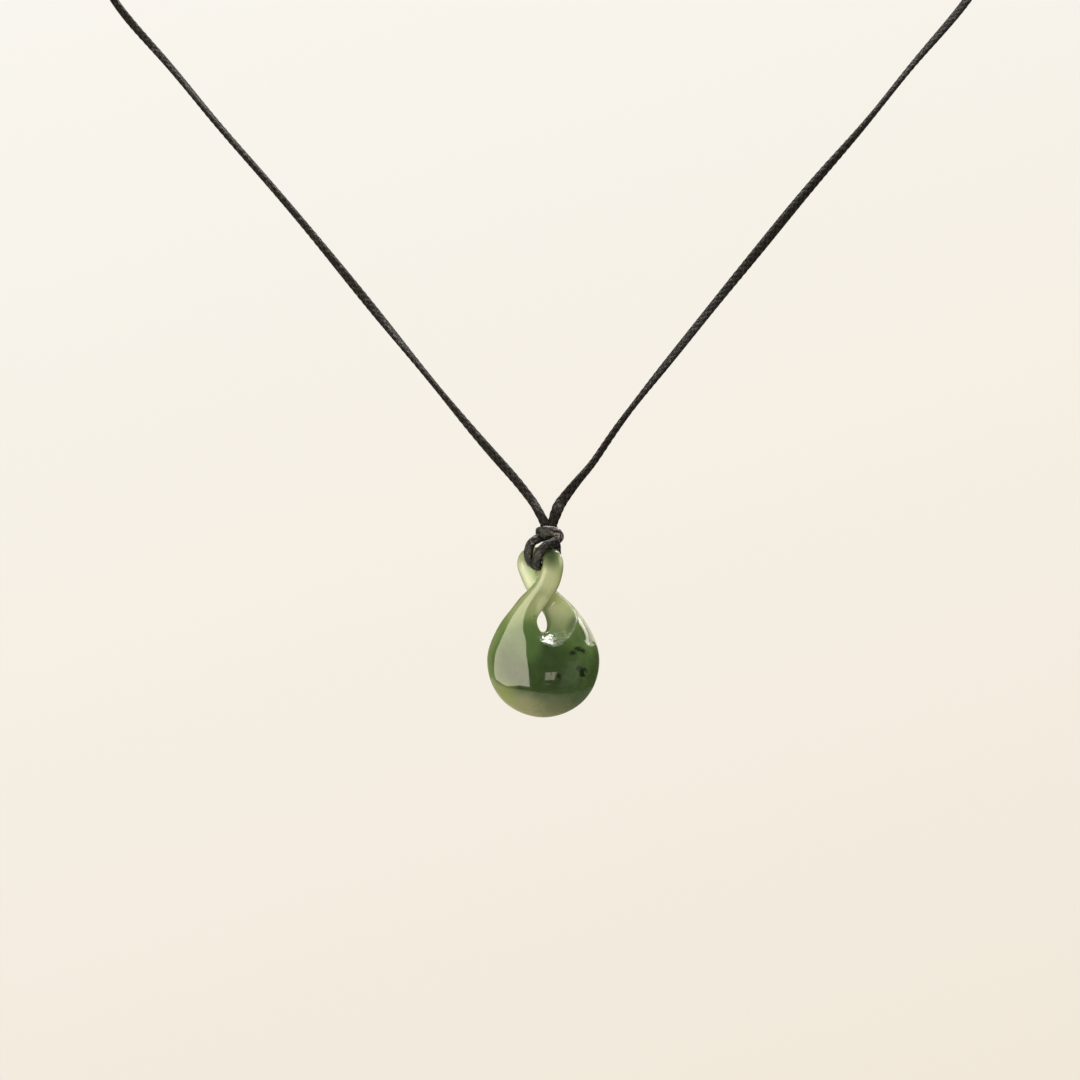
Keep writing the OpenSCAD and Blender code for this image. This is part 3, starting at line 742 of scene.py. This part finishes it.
greenstoneSet = {
    "depths": [  # mm of stone, then its colour: its own deeper green where thick, painted lighter where thin for light that passes through
        (3.3, (0.345, 0.38, 0.185)),
        (5.4, (0.245, 0.31, 0.118)),
        (6.5, (0.13, 0.205, 0.062)),
        (7.5, (0.058, 0.102, 0.03)),
        (8.1, (0.037, 0.062, 0.018)),
    ],
    # a painted glow along the thin edges, only on the left, where the stone is lit
    "rim": (0.205, 0.265, 0.105),
    # painted shade: a dark outline along the strands' thin edges
    "strandRimShade": (0.12, 0.14, 0.06),
    "backlit": (0.69, 0.73, 0.49),
    "backlitLime": (0.84, 0.93, 0.54),
    "shining": (0.85, 0.88, 0.68),
    "pale": (0.50, 0.515, 0.295),
    "yellow": (0.47, 0.51, 0.23),
    "leaf": (0.10, 0.17, 0.05),
    "fresh": (0.26, 0.30, 0.05),
    "cordShade": (0.05, 0.085, 0.028),
    "olive": (0.295, 0.285, 0.125),
    "deep": (0.06, 0.10, 0.032),
    "dark": (0.045, 0.078, 0.02),
    "brown": (0.14, 0.132, 0.062),
    "speck": (0.008, 0.012, 0.006),
    "rust": (0.02, 0.012, 0.006),
    "roughness": (0.05, 0.42),  # of the polish, and of what is matte
    "index": 1.62,
    "glowWeight": 0.85,         # light that passes through the stone, and how far in metres it gets
    "glowReach": (0.8, 1.0, 0.5),
    "glowScale": 0.002,
    # Noises: scale, detail, roughness, distortion
    "cloud": (160.0, 4.0, 0.5, 0.6),
    "vein": (480.0, 5.0, 0.6, 1.5),
    "fine": (1400.0, 3.0, 0.6),
    "streaks": (900.0, 4.0, 0.6, 1.2),
    "streakScale": (1.0, 1.0, 2.4),
    # Ranges: two limits of what is read, and what it gives at each
    "cloudDepth": (0.3, 0.7, -0.4, 0.4),
    "veinDepth": (0.3, 0.7, -0.2, 0.2),
    "litRimEdge": (0.85, 0.25),
    "litRimAcross": (0.0, 6 * mm, 1.0, 0.15),
    "litRimBulk": (4.0, 6.0),
    "strandEdge": (0.75, 0.25),
    "strandBulk": (4.6, 3.4),
    "dullScoop": (0.02, 0.3),
    "streakCrests": (0.45, 0.6),
    "easedStreaks": (0.0, 1.0, 0.75, 0.5),
    # How far the painted shade along the strands' edges darkens them, how matte the strand behind is, how far
    # a scratch and its painted sheen pale the stone, and a scratch's bump: strength, height in metres
    "strandRimShadeShare": 0.6,
    "strandDull": 0.9,
    "scratchShare": 0.3,
    "scratchBump": (0.2, 0.00006),
    # Tinted places, many of them painted glows and shade: noise, how ragged it makes the edge, colour, then a
    # spot's row
    "tints": {
        "leafPool": ("cloud", 0.5, "leaf", (-2.3, -3.0, 12.7), (3.2, 4.5, 4.4), 0.8),
        "leftShade": ("cloud", 0.5, "leaf", (-6.2, -0.5, 15.2), (1.7, 4.0, 3.6), 0.5, 0.1),
        # the stone's olive tone at the foot, also painted lighter for light from the floor below
        "oliveFootGlow": ("cloud", 0.5, "olive", (-3.6, -2.0, 0.4), (5.6, 6.0, 4.2), 0.75),
        "footGlow": ("cloud", 0.5, "fresh", (-6.4, -1.5, 3.6), (3.2, 4.5, 3.4), 0.6, 0.1),
        "strandGlow": ("cloud", 0.5, "pale", (1.0, -3.4, 22.0), (2.2, 3.0, 3.2), 0.85, 0.2),
        "holeGlow": ("cloud", 0.5, "pale", (-0.1, -3.0, 17.8), (1.4, 2.5, 2.4), 0.8),
        "limbGlow": ("cloud", 0.5, "yellow", (2.7, 0.0, 18.2), (3.2, 2.4, 3.4), 0.75, 0.2),
        "limbShade": ("cloud", 0.5, "deep", (5.7, -1.6, 14.0), (2.5, 3.4, 3.5), 0.65),
        "rightShade": ("cloud", 0.5, "dark", (8.6, 0.0, 6.0), (2.9, 4.5, 7.0), 0.9),
        "brownCloud": ("vein", 1.6, "brown", (2.3, -2.5, 1.3), (5.4, 5.0, 2.5), 0.7, 0.1),
        "strandBehind": ("cloud", 0.3, "backlit", (-2.6, 2.4, 22.4), (3.8, 3.6, 5.0), 1.0),
        # a painted glow of light through the strand behind, brightest at its heart
        "backlitHeart": ("cloud", 0.4, "backlitLime", (-1.5, 2.0, 22.7), (1.6, 3.5, 2.8), 0.7),
        "seenThrough": ("cloud", 0.4, "cordShade", (1.25, -3.0, 26.3), (2.1, 7.0, 3.6), 0.97, 0.08),
        # a painted highlight along the eye's right edge
        "eyeEdgeHighlight": ("cloud", 0.3, "shining", (3.1, -2.2, 25.7), (0.85, 3.0, 2.3), 0.85, 0.1),
    },
    "inclusions": [  # the same, over the edges' colours
        ("fine", 2.2, "speck", (4.7, -3.6, 10.35), (0.7, 1.5, 0.5), 0.8),
        ("fine", 2.2, "speck", (5.5, -3.6, 11.0), (0.8, 1.5, 0.5), 0.85),
        ("fine", 2.2, "speck", (6.3, -3.4, 10.7), (0.6, 1.5, 0.5), 0.95),
        ("fine", 2.2, "speck", (6.3, -3.2, 7.4), (0.7, 1.5, 1.0), 0.95),
        ("fine", 2.2, "speck", (5.6, -3.4, 7.9), (0.6, 1.5, 0.6), 0.55),
        ("fine", 2.2, "speck", (-1.42, -3.2, 16.24), (0.2, 1.2, 0.24), 1.0),
        ("fine", 2.2, "speck", (-1.1, 1.0, 23.3), (0.17, 1.2, 0.17), 0.9),
        ("fine", 1.0, "rust", (2.5, -3.9, 6.7), (0.5, 1.2, 0.6), 0.8),
    ],
    # Places of their own polish: noise, how ragged it makes the edge, then a spot's row
    "underHole": ("vein", 0.8, (0.5, -2.8, 12.7), (2.4, 2.2, 1.7), 1.0),
    "scratched": ("vein", 1.5, (3.1, -2.9, 12.4), (3.4, 2.2, 2.6), 0.8),
    "strandSoft": ("cloud", 0.6, (0.2, -3.0, 23.2), (2.4, 3.0, 4.2), 0.45),
}


# A colour read off a list of depths and colours
def depthColour(tree, depth, stops):
    first, last = stops[0][0], stops[-1][0]
    node = put(tree, "ValToRGB", {0: spread(tree, depth, first, last)})
    elements = node.color_ramp.elements
    for k, (at, colour) in enumerate(stops):
        share = (at - first) / (last - first)
        element = elements[k] if k < 2 else elements.new(share)
        element.position, element.color = share, (*colour, 1)
    return node.outputs[0]


def greenstoneMaterial(settings):
    material, tree, surface = newMaterial("greenstone")
    place = put(tree, "TexCoord").outputs["Object"]
    bulk, edge, scoop = (
        put(tree, "Attribute", attribute_name=key).outputs["Fac"] for key in ("bulk", "edge", "scoop"))
    noises = {key: grain(tree, place, settings[key]) for key in ("cloud", "vein", "fine")}

    # Colour by the depth of stone, painted lighter where thin for light passing through, then along the
    # edges, then in the tinted places, many of them painted glows and shade
    depth = maths(tree, "ADD", bulk, spread(tree, noises["cloud"], *settings["cloudDepth"]))
    depth = maths(tree, "ADD", depth, spread(tree, noises["vein"], *settings["veinDepth"]))
    colour = depthColour(tree, depth, settings["depths"])
    across = put(tree, "SeparateXYZ", {0: place}).outputs[0]
    # Painted light: a glow along the thin edges on the left, fading out towards the right
    rim = spread(tree, edge, *settings["litRimEdge"], smooth=True)
    rim = maths(tree, "MULTIPLY", rim, spread(tree, across, *settings["litRimAcross"], smooth=True))
    rim = maths(tree, "MULTIPLY", rim, spread(tree, bulk, *settings["litRimBulk"]))
    colour = blend(tree, rim, colour, settings["rim"])
    masks = {}
    for key, (noise, ragged, tint, *row) in settings["tints"].items():
        masks[key] = spot(tree, place, noises[noise], row, ragged)
        colour = blend(tree, masks[key], colour, settings[tint])
    # Painted shade: a dark outline along the thin strands' edges
    strandRimShade = spread(tree, edge, *settings["strandEdge"], smooth=True)
    strandRimShade = maths(tree, "MULTIPLY", strandRimShade, spread(tree, bulk, *settings["strandBulk"]))
    strandRimShade = maths(tree, "MULTIPLY", strandRimShade, settings["strandRimShadeShare"])
    colour = blend(tree, strandRimShade, colour, settings["strandRimShade"])
    for noise, ragged, tint, *row in settings["inclusions"]:
        colour = blend(tree, spot(tree, place, noises[noise], row, ragged), colour, settings[tint])

    # Matte where the scoop could not be polished, half as matte under the hole, and soft on both strands
    shine, scratched, soft = (
        spot(tree, place, noises[noise], row, ragged)
        for noise, ragged, *row in (settings[key] for key in ("underHole", "scratched", "strandSoft")))
    dull = spread(tree, scoop, *settings["dullScoop"], smooth=True)
    flat = put(tree, "Mapping", {"Vector": place, "Scale": settings["streakScale"]}).outputs[0]
    streaks = spread(tree, grain(tree, flat, settings["streaks"]), *settings["streakCrests"])
    eased = maths(tree, "MULTIPLY", shine, spread(tree, streaks, *settings["easedStreaks"]))
    matte = maths(tree, "MULTIPLY", dull, maths(tree, "SUBTRACT", 1.0, eased))
    behind = maths(tree, "MULTIPLY", masks["strandBehind"], settings["strandDull"])
    matte = maths(tree, "MAXIMUM", maths(tree, "MAXIMUM", matte, behind), soft)
    roughness = spread(tree, matte, 0.0, 1.0, *settings["roughness"])

    # Pale scratches where the scoop meets the hole, which also stand in for a painted sheen on them
    scratched = maths(tree, "MULTIPLY", maths(tree, "MAXIMUM", shine, scratched), dull)
    scratches = maths(tree, "MULTIPLY", streaks, scratched)
    paled = maths(tree, "MULTIPLY", scratches, settings["scratchShare"])
    colour = blend(tree, paled, colour, settings["shining"])
    tree.links.new(colour, surface.inputs["Base Color"])
    tree.links.new(roughness, surface.inputs["Roughness"])
    tree.links.new(bumped(tree, scratches, settings["scratchBump"]), surface.inputs["Normal"])
    surface.inputs["IOR"].default_value = settings["index"]
    surface.inputs["Subsurface Weight"].default_value = settings["glowWeight"]
    surface.inputs["Subsurface Radius"].default_value = settings["glowReach"]
    surface.inputs["Subsurface Scale"].default_value = settings["glowScale"]
    return material


def makeStone():
    rings, values = stoneRings()
    mesh = gridMesh("greenstoneTwist", rings, None, values, closedRow=True)
    material = greenstoneMaterial(greenstoneSet)
    return makePiece("greenstoneTwist", mesh, material, "greenstone", "greenstone_twist")


makeStone()


# Studio round the stone. Azimuths start from the camera's side and grow towards +X, in degrees, and distances
# are in metres from the stone's middle. A panel's glow is its radiance.
studioSet = {
    "middle": (0.0, -0.12, -0.137),
    "floorDrop": 0.34,
    "floorMiddle": (-0.17, 0.4),
    "floorRadii": (0.78, 0.887),
    "floorColour": (0.86, 0.82, 0.72),
    "floorPaintedShade": (0.25, 0.243, 0.22),
    "floorShade": (-0.25, 0.25),  # x between which the floor is painted into shade
    "floorRoughness": 0.8,
    "panels": {  # azimuth, elevation, roll, distance, width, height, glow, colour
        "leftSoftbox": (-39.4, -3.6, 14, 0.7, 0.79, 0.81, 4.8, (1.0, 0.95, 0.72)),
        "rightBackLight": (130, 28, 0, 0.8, 0.3, 0.085, 4.2, (1.0, 0.97, 0.9)),
        "lowBackLight": (138, 22.0, 28, 0.8, 0.46, 0.15, 2.2, (1.0, 0.89, 0.76)),
        "topLight": (160, 67, 0, 0.8, 0.66, 0.56, 18.0, (1.0, 0.98, 0.93)),
        "windowLeft": (0.2, -21.3, 0, 0.6, 0.025, 0.099, 2.6, (1.0, 0.9, 0.75)),
        "windowRight": (3.1, -21.3, 0, 0.6, 0.026, 0.099, 2.6, (1.0, 0.9, 0.75)),
        "windowSill": (0.5, -31.0, 0, 0.6, 0.03, 0.028, 0.5, (1.0, 0.9, 0.75)),
        "frontReflector": (25, -21, 0, 0.65, 0.31, 0.38, 0.3, (1.0, 0.95, 0.85)),
    },
}


# An oval floor under the stone, whose far edge stays below the camera's view
def makeFloor(settings, steps=96):
    angle = np.linspace(0, 2 * math.pi, steps, endpoint=False)
    (x, y), (wide, deep) = settings["floorMiddle"], settings["floorRadii"]
    height = settings["middle"][2] - settings["floorDrop"]
    rim = np.stack([x + wide * np.cos(angle), y + deep * np.sin(angle), np.full(steps, height)], 1)
    mesh = bpy.data.meshes.new("studioFloor")
    mesh.from_pydata(rim.tolist(), [], [list(range(steps))])
    material, tree, surface = newMaterial("paleFloor")
    parts = put(tree, "SeparateXYZ", {0: put(tree, "TexCoord").outputs["Object"]})
    # Painted shade: the floor darkens towards the right
    shade = spread(tree, parts.outputs[0], *settings["floorShade"], smooth=True)
    colour = blend(tree, shade, settings["floorColour"], settings["floorPaintedShade"])
    tree.links.new(colour, surface.inputs["Base Color"])
    surface.inputs["Roughness"].default_value = settings["floorRoughness"]
    mesh.materials.append(material)
    floor = bpy.data.objects.new("studioFloor", mesh)
    scene.collection.objects.link(floor)


def makePanel(name, azimuth, elevation, roll, distance, width, height, glow, colour):
    data = bpy.data.lights.new(name, "AREA")
    data.shape = "RECTANGLE"
    data.size, data.size_y = width, height
    data.energy = glow * math.pi * width * height
    data.color = colour
    light = bpy.data.objects.new(name, data)
    across, up = math.radians(azimuth), math.radians(elevation)
    out = np.array([math.cos(up) * math.sin(across), -math.cos(up) * math.cos(across), math.sin(up)])
    light.location = np.array(studioSet["middle"]) + distance * out
    light.rotation_euler = (math.pi / 2 - up, math.radians(roll), across)
    light.visible_camera = False
    light.visible_diffuse = False
    scene.collection.objects.link(light)


makeFloor(studioSet)
for name, panel in studioSet["panels"].items():
    makePanel(name, *panel)
print("studio with a floor and", len(studioSet["panels"]), "panels")


# World: colours at two limits of a slope, which rises with z and falls to the right
worldSet = {
    "lean": 0.3,
    "backdrop": ((0.875, 0.80, 0.685), (0.955, 0.925, 0.865)),
    "backdropSlopes": (-0.1, 0.1),
    "light": ((0.8, 0.78, 0.74), (1.25, 1.22, 1.15)),
    "lightSlopes": (-1.0, 1.0),
    "mirrored": ((0.05, 0.048, 0.042), (1.2, 1.13, 0.98)),  # the room, and what is behind the stone
    "behind": (0.8, 0.97),  # y between which the one passes into the other
}


# The camera sees a cream backdrop all round. Even soft light lies on every surface, a little stronger from
# above and from the left. What a polish mirrors is a dark room with the bright backdrop behind the stone.
def makeWorld(settings):
    world = bpy.data.worlds.new("studioWorld")
    world.use_nodes = True
    tree = world.node_tree
    x, y, z = put(tree, "SeparateXYZ", {0: put(tree, "TexCoord").outputs["Generated"]}).outputs
    path = put(tree, "LightPath")
    slope = maths(tree, "SUBTRACT", z, maths(tree, "MULTIPLY", x, settings["lean"]))
    seen = blend(tree, spread(tree, slope, *settings["backdropSlopes"]), *settings["backdrop"])
    light = blend(tree, spread(tree, slope, *settings["lightSlopes"]), *settings["light"])
    mirrored = blend(tree, spread(tree, y, *settings["behind"], smooth=True), *settings["mirrored"])
    around = blend(tree, path.outputs["Is Glossy Ray"], light, mirrored)
    tint = blend(tree, path.outputs["Is Camera Ray"], around, seen)
    tree.links.new(tint, tree.nodes["Background"].inputs["Color"])
    scene.world = world
    print("made", world.name)


makeWorld(worldSet)
scene.view_settings.view_transform = "Standard"
